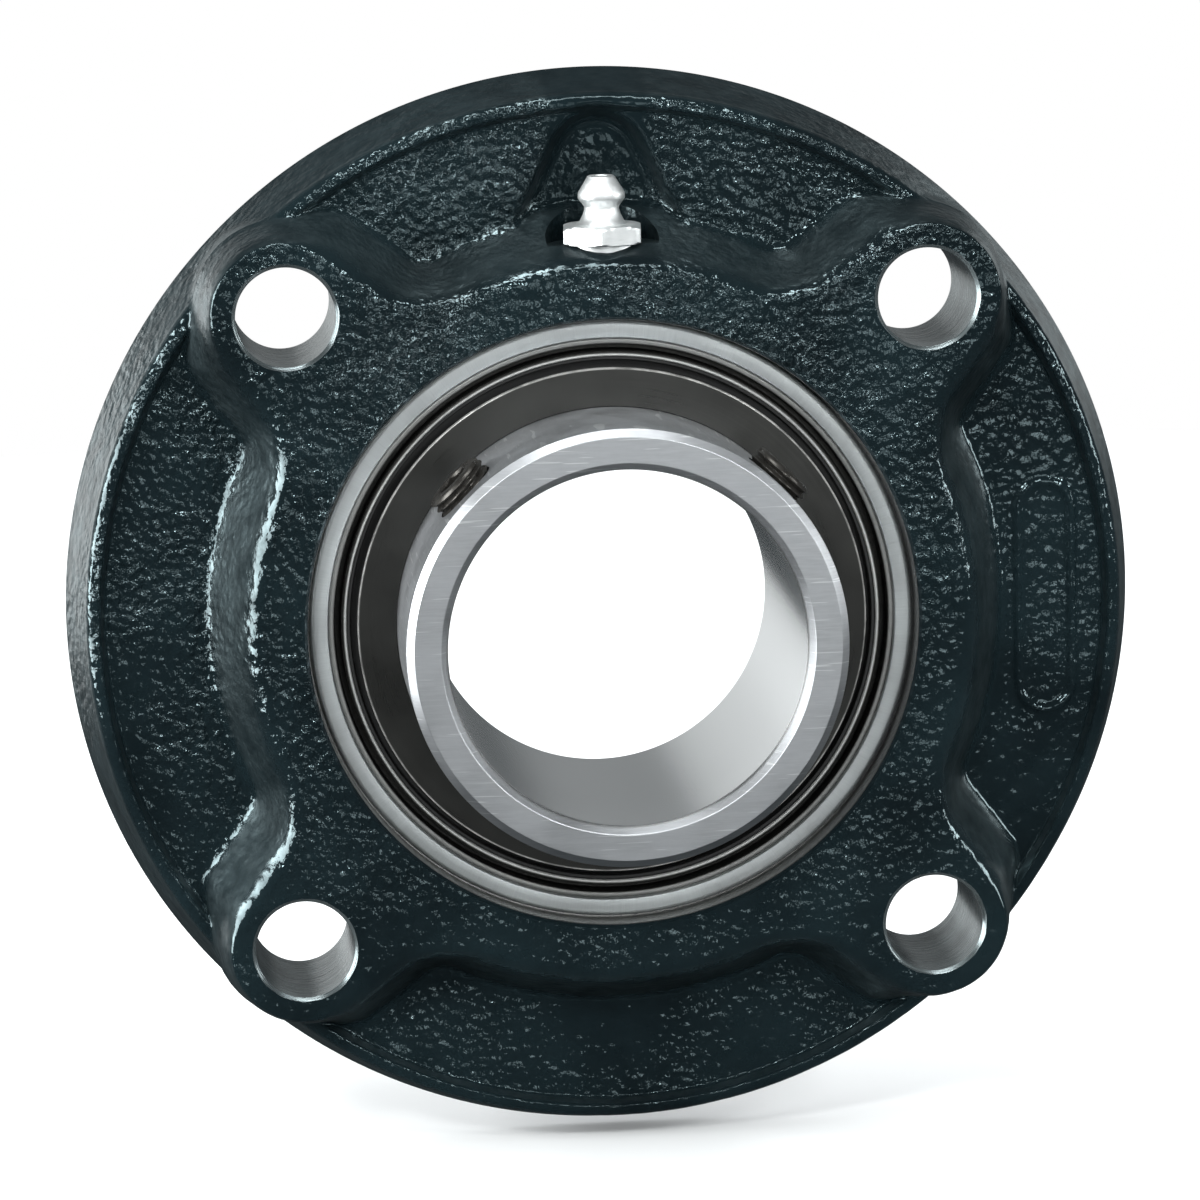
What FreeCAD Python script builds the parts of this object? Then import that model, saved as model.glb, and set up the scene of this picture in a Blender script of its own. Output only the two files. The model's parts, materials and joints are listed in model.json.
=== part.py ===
import FreeCAD, Part
import math
import os

# Piloted round flange cartridge bearing, in millimetres.
#
# Row frame: +Z up through the grease nipple, +X right, the shaft axis along Y.
# The face that bolts to the machine is the plane Y = 0 and the front looks along -Y.
# Origin: centre of the bolt circle on that face.
#
# Shapes are first made standing on the mounting face, with z the height forward of it
# and y up, and save() turns them into the row frame.

Vec = FreeCAD.Vector
UP = Vec(0, 1, 0)
FORWARD = Vec(0, 0, 1)
CENTRE = Vec(0, 0, 0)

# Housing casting
flange_r = 78.9             # at the mounting face
flange_draft = 2.9          # the rim gets narrower by this much towards the front
floor_z = 11.5              # pocket floor
lip_z = 13.2                # crest of the rim around the pockets
lip_w = 6.0                 # width of the rim, edge to floor
lip_round = 1.8
pad_z = 23.5                # machined-height front pad: hub and bosses
hub_r = 52.5                # hub edge at pad height
pad_draft = 3.9             # how far the pad's wall spreads down to its hollow foot
pad_round = 1.6
foot_rise = 1.9             # height and width of the hollow foot, made of short slopes
foot_spread = 2.4
foot_steps = 4
boss_r = 11.0
boss_taper = 8.5            # degrees that each side of a boss turns out towards the hub
boss_spread = 0.35          # share of the pad's sideways spread that a boss's end has
boss_inner_round = 7.0      # hollow corner where a boss meets the hub
bolt_circle_r = 65.1        # 5-1/8 in bolt circle
bolt_hole_r = 7.15          # for 1/2 in bolts
boss_angles = (45, 135, 225, 315)
pilot_r = 53.98             # 4-1/4 in spigot behind the mounting face
pilot_length = 9.5
pilot_bevel = 1.0

# Spherical seat
ball_z = 8.5                # centre of the balls and of the spherical seat
sphere_r = 45.0             # outside of the outer ring
seat_gap = 0.03
seat_back = 13.5            # how far the seat runs behind the ball centre
seat_front = 9.4            # the seat ends this far in front, where the counterbore starts
counterbore_r = 44.2
seat_bevel = 0.5
slot_half = 11.3            # loading slots that let the insert in from behind
slot_r = 45.2
grease_groove_z = 7.0       # groove centre, forward of the ball centre
grease_groove_w = 3.8
grease_groove_depth = 1.0

# Grease nipple, 1/8 pipe thread
nipple_z = 16.0
nipple_base = 54.5          # height of its spot face above the shaft axis
nipple_spot_r = 8.2
nipple_spot = 6.0
nipple_shank_r = 5.0
nipple_shank = 6.5
nipple_hex = 11.1           # across flats
nipple_hex_h = 2.9
nipple_turn = 10            # degrees that the hexagon is turned from square
nipple_passage_r = 1.25
check_ball_r = 1.5
check_ball_h = 8.0
chamber_r = 1.65
spring_low = 2.1
spring_wire_r = 0.18
spring_r = 1.15
spring_turns = 6
scoop_near = (54.0, 12.6)   # tongue-shaped recess behind the nipple: its two end
scoop_far = (64.5, 7.5)     # circles, as height above the shaft axis and radius
scoop_depth = 4.0
scoop_draft = 0.4           # sideways spread for each millimetre of height

# Blank cast frame in the right-hand pocket
frame_x = 64.8
frame_length = 35.0
frame_width = 9.0
frame_line = 1.1
frame_rise = 0.5

# Rolling parts
ring_half = 11.0            # half the width of the outer ring
ring_bevel = 0.5
pitch_r = 35.0
ball_r = 6.35
ball_count = 10
ball_gap = 0.02
race_r = 6.55               # radius of the grooves that the balls run in
outer_shoulder_r = 39.0
seal_seat_r = 41.2
seal_seat = 6.6             # seal seats start this far from the ball centre
oil_hole_r = 0.6
oil_hole_z = 5.85
bore_r = 25.4               # 2 in shaft
inner_r = 31.3
inner_front = 35.6
inner_back = 16.0
inner_bevel = 1.1
bore_bevel = 1.05
bore_bevel_depth = 1.6

# Locking pin, keeps the outer ring from turning
pin_r = 2.5
pin_gap = 0.03
pin_low = 42.5
pin_high = 47.2
pin_groove_r = 47.6
pin_groove_front = 5.3

# Flingers and seals
flinger_r = 37.0
flinger_low = 10.6
flinger_high = 11.5
collar_r = 32.5
collar_low = 7.2
lip_gap = 0.05

# Cage
cage_low_r = 33.2
cage_high_r = 36.8
cage_sheet = 0.5
cage_clearance = 0.12
rivet_r = 0.8
rivet_head_r = 1.35
rivet_head = 0.45

# Set screws, 3/8 in
screw_angles = {"set_screw_right": 45, "set_screw_left": 135}
screw_r = 4.7625
screw_gap = 0.05
screw_length = 7.94
screw_z = ball_z + 26.1
screw_tip = 25.6            # rest height of the tip above the shaft axis
screw_socket = 4.76
screw_socket_depth = 4.0


def save(shape, name):
    placed = shape.copy()
    placed.rotate(CENTRE, Vec(1, 0, 0), 90)
    placed.exportStep("parts/" + name + ".step")


def polar(radius, degrees, height=0.0):
    turn = math.radians(degrees)
    return Vec(radius * math.cos(turn), radius * math.sin(turn), height)


def turned(profile, base=0.0):
    corners = [Vec(r, 0, z + base) for r, z in profile]
    face = Part.Face(Part.makePolygon(corners + corners[:1]))
    return face.revolve(CENTRE, FORWARD, 360)


def tube(low_r, high_r, low_z, high_z):
    return turned([(low_r, low_z), (high_r, low_z), (high_r, high_z), (low_r, high_z)])


def disc(radius, low_z, high_z):
    return Part.makeCylinder(radius, high_z - low_z, Vec(0, 0, low_z))


def upright(shape, degrees, radius, height):
    """Stand a shape that was made along z on a radius of the bearing."""
    placed = shape.copy()
    placed.rotate(CENTRE, Vec(1, 0, 0), -90)
    placed.rotate(CENTRE, FORWARD, degrees - 90)
    placed.translate(polar(radius, degrees, height))
    return placed


def mirrored_back(shape):
    return shape.mirror(Vec(0, 0, ball_z), FORWARD)


def arc_about(centre, radius, start, end):
    middle = (start + end) / 2
    points = [centre + polar(radius, turn) for turn in (start, middle, end)]
    return Part.Arc(*points).toShape()


def pad_outline(grow, height):
    """Hub circle with four tapered bosses and hollow corners, grown sideways by grow."""
    hollow = boss_inner_round - grow
    end_r = boss_r + boss_spread * grow
    neck = boss_r + grow + (bolt_circle_r - hub_r) * math.tan(math.radians(boss_taper))
    taper = math.degrees(math.atan((neck - end_r) / (bolt_circle_r - hub_r)))
    reach = hub_r + boss_inner_round
    side = end_r + bolt_circle_r * math.sin(math.radians(taper))
    swing = 90 - taper - math.degrees(math.acos((side + hollow) / reach))
    edges = []
    for angle in boss_angles:
        boss = polar(bolt_circle_r, angle)
        right = polar(reach, angle - swing)
        left = polar(reach, angle + swing)
        right_turn = angle - 90 + taper
        left_turn = angle + 90 - taper
        edges.append(arc_about(right, hollow, angle - swing + 180, right_turn + 180))
        edges.append(Part.makeLine(right - polar(hollow, right_turn), boss + polar(end_r, right_turn)))
        edges.append(arc_about(boss, end_r, right_turn, left_turn))
        edges.append(Part.makeLine(boss + polar(end_r, left_turn), left - polar(hollow, left_turn)))
        edges.append(arc_about(left, hollow, left_turn + 180, angle + swing + 180))
        edges.append(arc_about(CENTRE, hub_r + grow, angle + swing, angle + 90 - swing))
    wire = Part.Wire(Part.__sortEdges__(edges))
    wire.translate(Vec(0, 0, height))
    return wire


def make_pad():
    """Raised front pad with sloping walls that run out into the floor."""
    outlines = [pad_outline(0, pad_z)]
    for step in range(foot_steps + 1):
        turn = math.pi / 2 * step / foot_steps
        grow = pad_draft + foot_spread * (1 - math.cos(turn))
        outlines.append(pad_outline(grow, floor_z + foot_rise * (1 - math.sin(turn))))
    pad = Part.makeLoft(outlines, True, True)
    rim = [e for e in pad.Edges if all(v.Z > pad_z - 0.01 for v in e.Vertexes)]
    return pad.makeFillet(pad_round, rim)


def make_boss_feet():
    """The bosses' ends run down past the drafted rim to the mounting face."""
    foot_r = boss_r + boss_spread * (pad_draft + foot_spread) - 0.1
    height = floor_z + 0.02 - 0.8
    return [Part.makeCylinder(foot_r, height, polar(bolt_circle_r, a, 0.8)) for a in boss_angles]


def tongue_outline(grow, height):
    """Outline around two circles of unequal radius and the lines that touch both."""
    (near, near_r), (far, far_r) = scoop_near, scoop_far
    lean = math.degrees(math.asin((near_r - far_r) / (far - near)))
    near_centre, far_centre = Vec(0, near, 0), Vec(0, far, 0)
    near_right, near_left = [near_centre + polar(near_r + grow, a) for a in (lean, 180 - lean)]
    far_right, far_left = [far_centre + polar(far_r + grow, a) for a in (lean, 180 - lean)]
    wire = Part.Wire([arc_about(far_centre, far_r + grow, lean, 180 - lean),
                      Part.makeLine(far_left, near_left),
                      arc_about(near_centre, near_r + grow, 180 - lean, 360 + lean),
                      Part.makeLine(near_right, far_right)])
    wire.translate(Vec(0, 0, height))
    return wire


def make_flange():
    """Disc with a rounded rim lip around its pocket floor."""
    top_r = flange_r - flange_draft
    shoulder = Vec(top_r - lip_round, 0, lip_z)
    side_top = Vec(top_r, 0, lip_z - lip_round)
    bend = Vec(top_r - lip_round * 0.293, 0, lip_z - lip_round * 0.293)
    foot = Vec(flange_r - lip_w, 0, floor_z)
    inner = Part.BSplineCurve()
    half_way = (shoulder + foot) * 0.5
    inner.interpolate(Points=[shoulder, half_way, foot],
                      InitialTangent=Vec(-1, 0, 0), FinalTangent=Vec(-1, 0, 0))
    bottom = [Vec(0, 0, 0), Vec(flange_r - 0.8, 0, 0), Vec(flange_r, 0, 0.8), side_top]
    edges = [Part.makeLine(a, b) for a, b in zip(bottom, bottom[1:])]
    edges.append(Part.Arc(side_top, bend, shoulder).toShape())
    edges.append(inner.toShape())
    edges.append(Part.makeLine(foot, Vec(0, 0, floor_z)))
    edges.append(Part.makeLine(Vec(0, 0, floor_z), bottom[0]))
    return Part.Face(Part.Wire(edges)).revolve(CENTRE, FORWARD, 360)


def make_scoop():
    """Recess behind the nipple, deepest at the hub wall and open towards the front."""
    high = lip_z - floor_z + 1
    low_wire = tongue_outline(-scoop_depth * scoop_draft, floor_z - scoop_depth)
    high_wire = tongue_outline(high * scoop_draft, floor_z + high)
    scoop = Part.makeLoft([low_wire, high_wire], True, True)
    return scoop.cut(disc(hub_r + pad_draft + foot_spread, 0, pad_z))


def make_seat_cut():
    """Spherical seat, rear opening, loading slots, grease groove and pin groove."""
    seat_r = sphere_r + seat_gap
    seat = Part.makeSphere(seat_r, Vec(0, 0, ball_z))
    seat = seat.common(disc(seat_r + 1, ball_z - seat_back, ball_z + seat_front + 1))
    back_r = math.sqrt(seat_r ** 2 - seat_back ** 2)
    rear = disc(back_r, -pilot_length - 1, ball_z - seat_back)
    mouth = turned([(0, ball_z + seat_front), (counterbore_r, ball_z + seat_front),
                    (counterbore_r, pad_z - seat_bevel), (counterbore_r + seat_bevel, pad_z),
                    (counterbore_r + seat_bevel, pad_z + 1), (0, pad_z + 1)])
    slab = Part.makeBox(2 * slot_r, 2 * slot_half, ball_z + pilot_length + 1,
                        Vec(-slot_r, -slot_half, -pilot_length - 1))
    slots = slab.common(disc(slot_r, -pilot_length - 1, ball_z))
    low = ball_z + grease_groove_z - grease_groove_w / 2
    groove = disc(seat_r + grease_groove_depth, low, low + grease_groove_w)
    length = pilot_length + 1 + ball_z + pin_groove_front
    pin_groove = Part.makeBox(2 * (pin_r + pin_gap), pin_groove_r - 30, length,
                              Vec(-pin_r - pin_gap, -pin_groove_r, -pilot_length - 1))
    return seat.fuse([rear, mouth, slots, groove, pin_groove])


def make_nipple_cut():
    spot = Part.makeCylinder(nipple_spot_r, nipple_spot)
    thread = Part.makeCylinder(nipple_shank_r, nipple_shank + 1, Vec(0, 0, -nipple_shank))
    passage = Part.makeCylinder(nipple_passage_r, 12, Vec(0, 0, -12))
    return upright(spot.fuse([thread, passage]), 90, nipple_base, nipple_z)


def make_blank_frame():
    """Plain raised outline on the pocket floor, with round ends."""
    def stadium(width, length):
        straight = length - width
        block = Part.makeBox(width, straight, 3, Vec(-width / 2, -straight / 2, 0))
        ends = [Part.makeCylinder(width / 2, 3, Vec(0, side * straight / 2, 0)) for side in (-1, 1)]
        return block.fuse(ends)
    outline = stadium(frame_width, frame_length)
    inside = stadium(frame_width - 2 * frame_line, frame_length - 2 * frame_line)
    frame = outline.cut(inside)
    frame.translate(Vec(frame_x, 0, floor_z + frame_rise - 3))
    return frame


def make_housing():
    pilot = disc(pilot_r, -pilot_length, 0)
    pilot = pilot.makeChamfer(pilot_bevel, [e for e in pilot.Edges if e.BoundBox.ZMax < -1])
    flange = make_flange().cut(make_scoop())
    body = flange.fuse([pilot, make_blank_frame(), make_pad()] + make_boss_feet())
    body = body.cut(make_seat_cut())
    body = body.cut(make_nipple_cut())
    for angle in boss_angles:
        hole = Part.makeCylinder(bolt_hole_r, 40, polar(bolt_circle_r, angle, -5))
        body = body.cut(hole)
    return body.removeSplitter()


def make_nipple_body():
    head = turned([(0, -nipple_shank), (nipple_shank_r - 0.3, -nipple_shank),
                   (nipple_shank_r, -nipple_shank + 0.6), (nipple_shank_r, 0.5),
                   (3.5, 0.5), (3.5, 3.1), (2.9, 4.0), (2.55, 5.2), (2.75, 5.7),
                   (3.38, 6.5), (3.38, 7.4), (2.05, 9.5), (1.8, 9.8), (0, 9.8)])
    corners = [polar(nipple_hex / math.sqrt(3), 60 * k + nipple_turn) for k in range(7)]
    hexagon = Part.Face(Part.makePolygon(corners)).extrude(Vec(0, 0, nipple_hex_h))
    crown = turned([(0, 0), (nipple_hex / 2 + 1.2, 0), (nipple_hex / 2 + 1.2, nipple_hex_h - 0.7),
                    (nipple_hex / 2 - 0.2, nipple_hex_h), (0, nipple_hex_h)])
    body = head.fuse(hexagon.common(crown))
    passage = turned([(0, -10), (1.2, -10), (1.2, 1.6), (chamber_r, 1.6), (chamber_r, 8.3),
                      (1.15, 9.0), (1.15, 12), (0, 12)])
    return upright(body.cut(passage).removeSplitter(), 90, nipple_base, nipple_z)


def make_check_ball():
    return upright(Part.makeSphere(check_ball_r, Vec(0, 0, check_ball_h)), 90, nipple_base, nipple_z)


def make_spring_seat():
    return upright(tube(0.6, chamber_r, 1.6, spring_low), 90, nipple_base, nipple_z)


def make_nipple_spring():
    low = spring_low + spring_wire_r
    high = check_ball_h - math.sqrt((check_ball_r + spring_wire_r) ** 2 - spring_r ** 2) - 0.02
    path = Part.makeHelix((high - low) / spring_turns, high - low, spring_r)
    section = Part.Wire(Part.makeCircle(spring_wire_r, Vec(spring_r, 0, 0), UP))
    wire = Part.Wire(path).makePipeShell([section], True, True)
    wire.translate(Vec(0, 0, low))
    return upright(wire, 90, nipple_base, nipple_z)


def make_locking_pin():
    length = pin_high - pin_low
    pin = Part.makeCylinder(pin_r, length)
    pin = pin.makeChamfer(0.4, [e for e in pin.Edges if len(e.Vertexes) == 1])
    return upright(pin, 270, pin_low, ball_z)


def make_outer_ring():
    ring = Part.makeSphere(sphere_r, Vec(0, 0, ball_z))
    low, high = ball_z - ring_half, ball_z + ring_half
    ring = ring.common(disc(sphere_r + 1, low, high))
    ring = ring.makeChamfer(ring_bevel, [e for e in ring.Edges if e.BoundBox.ZLength < 0.01])
    race = Part.makeTorus(pitch_r + ball_r + ball_gap - race_r, race_r, Vec(0, 0, ball_z))
    seats = [disc(seal_seat_r, ball_z + seal_seat, high + 1),
             disc(seal_seat_r, low - 1, ball_z - seal_seat)]
    ring = ring.cut(disc(outer_shoulder_r, low - 1, high + 1).fuse([race] + seats))
    oil_hole = Part.makeCylinder(oil_hole_r, 10)
    ring = ring.cut(upright(oil_hole, 90, outer_shoulder_r - 1, ball_z + oil_hole_z))
    pin_hole = Part.makeCylinder(pin_r + pin_gap, 10)
    return ring.cut(upright(pin_hole, 270, pin_low - 0.1, ball_z))


def make_inner_ring():
    low, high = -inner_back, inner_front
    ring = turned([(bore_r + bore_bevel, low), (inner_r - inner_bevel, low),
                   (inner_r, low + inner_bevel), (inner_r, high - inner_bevel),
                   (inner_r - inner_bevel, high), (bore_r + bore_bevel, high),
                   (bore_r, high - bore_bevel_depth), (bore_r, low + bore_bevel_depth)], ball_z)
    race_centre = pitch_r - ball_r - ball_gap + race_r
    ring = ring.cut(Part.makeTorus(race_centre, race_r, Vec(0, 0, ball_z)))
    hole = Part.makeCylinder(screw_r + screw_gap, 20)
    for angle in screw_angles.values():
        ring = ring.cut(upright(hole, angle, bore_r - 5, screw_z))
    return ring


def make_set_screw(angle):
    screw = turned([(0, 0.9), (1.6, 0.9), (2.6, 0), (3.0, 0), (screw_r, 1.5),
                    (screw_r, screw_length - 0.7), (screw_r - 0.7, screw_length), (0, screw_length)])
    corners = [polar(screw_socket / math.sqrt(3), 60 * k) for k in range(7)]
    socket = Part.Face(Part.makePolygon(corners)).extrude(Vec(0, 0, screw_socket_depth + 1))
    socket.translate(Vec(0, 0, screw_length - screw_socket_depth))
    return upright(screw.cut(socket), angle, screw_tip, screw_z)


def make_flinger():
    bevel = 0.2
    return turned([(inner_r, collar_low), (collar_r, collar_low), (collar_r, flinger_low),
                   (flinger_r, flinger_low), (flinger_r, flinger_high - bevel),
                   (flinger_r - bevel, flinger_high), (inner_r, flinger_high)], ball_z)


def make_seal_shell():
    """Pressed channel: outer wall in the ring, flat floor, low inner wall."""
    return turned([(38.5, seal_seat), (seal_seat_r, seal_seat), (seal_seat_r, 10.0), (40.8, 10.4),
                   (40.3, 10.4), (40.3, 7.5), (39.3, 7.5), (39.3, 10.3), (39.1, 10.5),
                   (38.7, 10.5), (38.5, 10.3)], ball_z)


def make_seal_lip():
    tip_r = collar_r + lip_gap
    return turned([(tip_r, 7.4), (37.4, 7.4), (37.6, 6.7), (38.5, 6.7), (38.5, 9.9), (38.0, 9.9),
                   (37.9, 8.0), (tip_r, 8.0)], ball_z)


def make_cage_half():
    """Pressed ribbon with a cup over each ball and a flat web between the cups."""
    centres = [polar(pitch_r, 360 / ball_count * k, ball_z) for k in range(ball_count)]
    pocket_r = ball_r + cage_clearance
    web = tube(cage_low_r, cage_high_r, ball_z, ball_z + cage_sheet)
    cups = [Part.makeSphere(pocket_r + cage_sheet, c) for c in centres]
    band = tube(cage_low_r, cage_high_r, ball_z, ball_z + pocket_r + 2)
    half = web.fuse(cups).common(band)
    for centre in centres:
        half = half.cut(Part.makeSphere(pocket_r, centre))
    for k in range(ball_count):
        spot = polar(pitch_r, 360 / ball_count * (k + 0.5), ball_z - 1)
        half = half.cut(Part.makeCylinder(rivet_r, 4, spot))
    return half


def make_rivets():
    web = cage_sheet
    rivet = turned([(0, -web - rivet_head), (rivet_head_r * 0.6, -web - rivet_head),
                    (rivet_head_r, -web), (rivet_r, -web), (rivet_r, web), (rivet_head_r, web),
                    (rivet_head_r * 0.6, web + rivet_head), (0, web + rivet_head)])
    rivets = []
    for k in range(ball_count):
        copy = rivet.copy()
        copy.translate(polar(pitch_r, 360 / ball_count * (k + 0.5), ball_z))
        rivets.append(copy)
    return Part.makeCompound(rivets)


def main():
    os.makedirs("parts", exist_ok=True)
    save(make_housing(), "housing")
    save(make_nipple_body(), "grease_nipple_body")
    save(make_check_ball(), "grease_nipple_ball")
    save(make_nipple_spring(), "grease_nipple_spring")
    save(make_spring_seat(), "grease_nipple_spring_seat")
    save(make_locking_pin(), "locking_pin")
    save(make_outer_ring(), "outer_ring")
    save(make_inner_ring(), "inner_ring")
    sides = {"front": lambda shape: shape, "rear": mirrored_back}
    for side, place in sides.items():
        save(place(make_flinger()), side + "_flinger")
        save(place(make_seal_shell()), side + "_seal_shell")
        save(place(make_seal_lip()), side + "_seal_lip")
        save(place(make_cage_half()), "cage_" + side + "_half")
    save(make_rivets(), "cage_rivets")
    for k in range(ball_count):
        centre = polar(pitch_r, 360 / ball_count * k, ball_z)
        save(Part.makeSphere(ball_r, centre), "ball_%02d" % (k + 1))
    for name, angle in screw_angles.items():
        save(make_set_screw(angle), name)


main()
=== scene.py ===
import json
import math

import bmesh
import bpy
import numpy as np
from mathutils import Matrix, Vector, noise


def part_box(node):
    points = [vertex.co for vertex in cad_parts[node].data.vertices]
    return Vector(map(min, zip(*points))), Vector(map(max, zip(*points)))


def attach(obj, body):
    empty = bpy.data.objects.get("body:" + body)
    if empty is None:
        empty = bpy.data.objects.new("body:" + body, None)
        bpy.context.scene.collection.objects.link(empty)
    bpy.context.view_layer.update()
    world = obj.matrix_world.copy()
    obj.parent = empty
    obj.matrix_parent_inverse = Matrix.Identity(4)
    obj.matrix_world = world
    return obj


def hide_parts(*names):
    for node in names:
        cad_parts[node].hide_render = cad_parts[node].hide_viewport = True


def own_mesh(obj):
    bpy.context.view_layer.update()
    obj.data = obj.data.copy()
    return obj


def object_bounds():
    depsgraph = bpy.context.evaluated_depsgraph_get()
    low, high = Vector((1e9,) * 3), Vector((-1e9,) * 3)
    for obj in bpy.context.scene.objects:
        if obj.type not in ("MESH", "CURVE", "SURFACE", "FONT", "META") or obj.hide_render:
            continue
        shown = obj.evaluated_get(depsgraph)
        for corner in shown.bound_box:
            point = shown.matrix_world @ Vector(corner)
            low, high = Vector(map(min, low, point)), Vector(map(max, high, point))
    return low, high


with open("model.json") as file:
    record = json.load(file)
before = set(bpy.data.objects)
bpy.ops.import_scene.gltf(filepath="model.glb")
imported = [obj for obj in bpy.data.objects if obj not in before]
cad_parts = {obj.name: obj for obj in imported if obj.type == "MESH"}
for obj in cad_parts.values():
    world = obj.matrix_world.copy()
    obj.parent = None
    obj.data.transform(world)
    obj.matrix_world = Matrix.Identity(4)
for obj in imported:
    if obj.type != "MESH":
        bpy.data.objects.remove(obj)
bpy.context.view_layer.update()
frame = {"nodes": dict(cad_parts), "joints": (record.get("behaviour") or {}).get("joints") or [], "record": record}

# ---------------------------------------------------------------- the frame's own measures
# Lengths below are in millimetres; forward is the distance from the mounting face to the front (-Y).
MM = 0.001
record = frame["record"]
mounts = {m["name"]: m for m in record["mounts"]}
joints = {j["name"]: j for j in frame["joints"]}


def box_mm(node):
    """Low and high corner of a node's box, in millimetres."""
    low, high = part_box(node)
    return low / MM, high / MM


housing_low, housing_high = box_mm("housing")
FLANGE_R = housing_high.x
PAD_Z = -housing_low.y
PILOT_BACK = housing_high.y
BALL_Z = -joints["shaft_spin"]["pos_m"][1] / MM
PILOT_R = mounts["pilot"]["dims"]["r_mm"]
BOLT_CIRCLE_R = mounts["bolt_circle"]["dims"]["pcd_mm"] / 2
BOLT_HOLE_R = mounts["bolt_circle"]["dims"]["hole_r_mm"]
BORE_R = mounts["shaft_bore"]["dims"]["r_mm"]
RING_HALF = -box_mm("outer_ring")[0].y - BALL_Z
INNER_FRONT = -box_mm("inner_ring")[0].y
INNER_BACK = -box_mm("inner_ring")[1].y
FLINGER_R = box_mm("front_flinger")[1].x
FLINGER_TOP = -box_mm("front_flinger")[0].y - BALL_Z
SHELL_R = box_mm("front_seal_shell")[1].x
NIPPLE_Z = -(box_mm("grease_nipple_ball")[0].y + box_mm("grease_nipple_ball")[1].y) / 2
COIL_LOW = box_mm("grease_nipple_spring")[0].z
COIL_HIGH = box_mm("grease_nipple_spring")[1].z

# Housing casting: pocket floor, rim lip, hub, bosses, seat, recess behind the nipple, blank frame
FLOOR_Z = 11.5
LIP_Z = 13.2
LIP_FOOT_R = FLANGE_R - 6.0
LIP_OUT = FLANGE_R - 2.9
LIP_ROUND = 1.8
HUB_R = 52.5
BOSS_R = 11.0
BOSS_TAPER = 8.5
BOSS_SLOPE = 6.3
BOSS_FOOT_R = 13.0
BOSS_INNER_ROUND = 7.0
WALL_SLOPE = 2.2
SPHERE_R = 45.0
SEAT_BACK = 13.5
SEAT_FRONT = 9.4
COUNTERBORE_R = 44.2
BORE_EDGE_R = 44.7
SLOT_HALF = 11.3
SLOT_R = 45.2
PIN_GROOVE_R = 47.6
SCOOP_NEAR = (54.0, 12.6)
SCOOP_FAR = (66.0, 7.5)
SCOOP_DEPTH = 4.0
FRAME_X = 64.8
FRAME_LENGTH = 35.0
FRAME_WIDTH = 9.0
FRAME_RISE = 0.5
NIPPLE_BASE = 54.5
SPOT_R = 8.2
SIDE_TOP_Z = LIP_Z - LIP_ROUND
SIDE_FOOT_Z = 0.8
PIN_GROOVE_HALF = 2.53
PIN_GROOVE_FOOT = 40
SLOT_FOOT = 38
BOLT_ANGLES = (45, 135, 225, 315)

# Bearing insert
PITCH_R = 35.0
BALL_R = 6.35
RACE_R = 6.55
RACE_PLAY = 0.02
SHOULDER_R = 39.0
INNER_R = 31.3
THREAD_R = 4.7625
THREAD_PITCH = 25.4 / 24
THREAD_DEPTH = 0.6
SCREW_TIP_R = 25.6
SCREW_LENGTH = 7.94
KEY_ACROSS = 4.76


# ---------------------------------------------------------------- mesh helpers
def new_object(name, verts, faces, materials, face_materials=None):
    """Smooth-shaded object in the scene, from vertices in metres."""
    mesh = bpy.data.meshes.new(name)
    mesh.from_pydata(verts, [], faces)
    for material in materials:
        mesh.materials.append(material)
    if face_materials is not None:
        mesh.polygons.foreach_set("material_index", face_materials)
    mesh.polygons.foreach_set("use_smooth", [True] * len(mesh.polygons))
    mesh.update()
    obj = bpy.data.objects.new(name, mesh)
    bpy.context.scene.collection.objects.link(obj)
    return obj


def grid_faces(rows, columns, closed_rows=False):
    """Quads of a grid whose columns close round the axis."""
    faces = []
    for i in range(rows if closed_rows else rows - 1):
        a, b = i * columns, (i + 1) % rows * columns
        for j in range(columns):
            k = (j + 1) % columns
            faces.append((a + j, a + k, b + k, b + j))
    return faces


def outward(obj):
    """Turns all faces of a closed mesh outwards."""
    work = bmesh.new()
    work.from_mesh(obj.data)
    bmesh.ops.recalc_face_normals(work, faces=work.faces)
    work.to_mesh(obj.data)
    work.free()
    return obj


def rounded(points, radii, steps=4):
    """Closed outline in the (radius, height) plane with its corners rounded."""
    if not hasattr(radii, "__len__"):
        radii = [radii] * len(points)
    result = []
    for k, (point, radius) in enumerate(zip(points, radii)):
        here = np.array(point, float)
        before = np.array(points[k - 1], float) - here
        after = np.array(points[(k + 1) % len(points)], float) - here
        before_length, after_length = np.linalg.norm(before), np.linalg.norm(after)
        before, after = before / before_length, after / after_length
        half = math.acos(float(np.clip(before @ after, -1, 1))) / 2
        if radius <= 0 or half > math.radians(87):
            result.append(tuple(here))
            continue
        reach = min(radius / math.tan(half), 0.45 * before_length, 0.45 * after_length)
        radius = reach * math.tan(half)
        centre = here + (before + after) / np.linalg.norm(before + after) * radius / math.sin(half)
        start, end = here + before * reach - centre, here + after * reach - centre
        turn = math.acos(float(np.clip(start @ end / radius ** 2, -1, 1)))
        for step in range(steps + 1):
            t = step / steps
            spot = (start * math.sin((1 - t) * turn) + end * math.sin(t * turn)) / math.sin(turn)
            result.append(tuple(centre + spot))
    return result


def axis_matrix(origin, axis):
    """Places the (x, y, height) of a turned shape: height runs along axis from origin."""
    axis = Vector(axis).normalized()
    side = axis.orthogonal().normalized()
    matrix = Matrix((side, axis.cross(side), axis)).transposed().to_4x4()
    matrix.translation = Vector(origin)
    return matrix


BEARING = axis_matrix((0, 0, 0), (0, -1, 0))


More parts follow.
